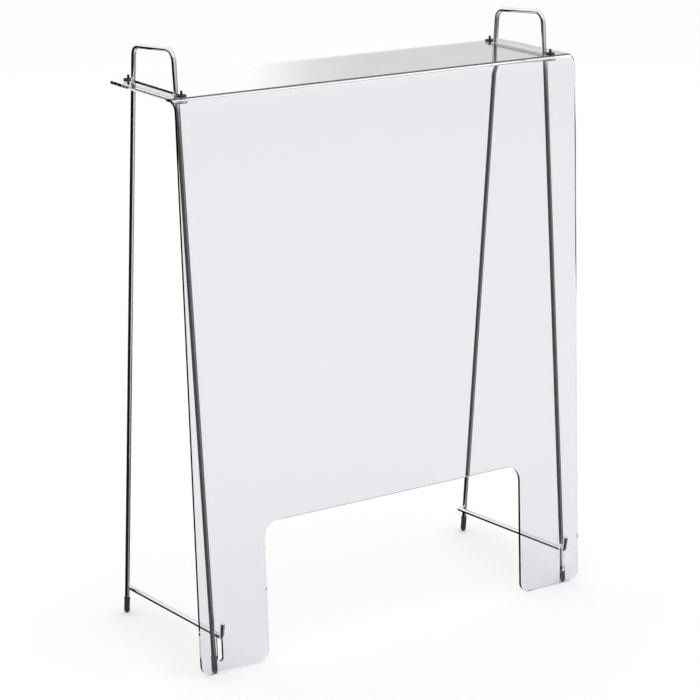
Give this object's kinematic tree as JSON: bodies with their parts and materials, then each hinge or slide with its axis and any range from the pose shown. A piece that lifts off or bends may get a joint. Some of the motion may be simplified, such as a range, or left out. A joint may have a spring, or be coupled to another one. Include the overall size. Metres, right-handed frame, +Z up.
{
  "type": "desk privacy panel",
  "caption": "Clear bent acrylic desk screen with a pass-through, hooked over two chrome wire stands with handle loops and rubber feet.",
  "frame": {"origin": "on the desk, under the middle of the object's box", "axes": "+Z up; +X to the right of someone who faces the screen's front; +Y to the rear, from the screen to the rear feet"},
  "size_m": [0.6, 0.2527, 0.7809],
  "materials": {
    "acrylic": "clear cast acrylic, polished faces, flame-polished edges",
    "chrome_wire": "bright chrome-plated round wire",
    "chrome_plate": "bright chrome-plated flat strip",
    "black_pin": "black oxide with a satin sheen",
    "grommet_rubber": "matt black moulded rubber",
    "cap_rubber": "matt dark grey moulded rubber"
  },
  "bodies": {
    "screen": {"screen_panel": "acrylic", "left_rear_grommet": "grommet_rubber", "left_front_grommet": "grommet_rubber", "right_rear_grommet": "grommet_rubber", "right_front_grommet": "grommet_rubber"},
    "left_stand": {"left_wire_frame": "chrome_wire", "left_hook_bar": "chrome_wire", "left_saddle_plate": "chrome_plate", "left_rear_pin": "black_pin", "left_front_pin": "black_pin", "left_rear_foot_cap": "cap_rubber", "left_front_foot_cap": "cap_rubber"},
    "right_stand": {"right_wire_frame": "chrome_wire", "right_hook_bar": "chrome_wire", "right_saddle_plate": "chrome_plate", "right_rear_pin": "black_pin", "right_front_pin": "black_pin", "right_rear_foot_cap": "cap_rubber", "right_front_foot_cap": "cap_rubber"}
  },
  "joints": [
    {"name": "left_stand_drop", "type": "slide", "parent": "screen", "child": "left_stand", "axis": [0, 0, -1], "range_m": [0, 0.029]},
    {"name": "right_stand_drop", "type": "slide", "parent": "screen", "child": "right_stand", "axis": [0, 0, -1], "range_m": [0, 0.029]}
  ]
}
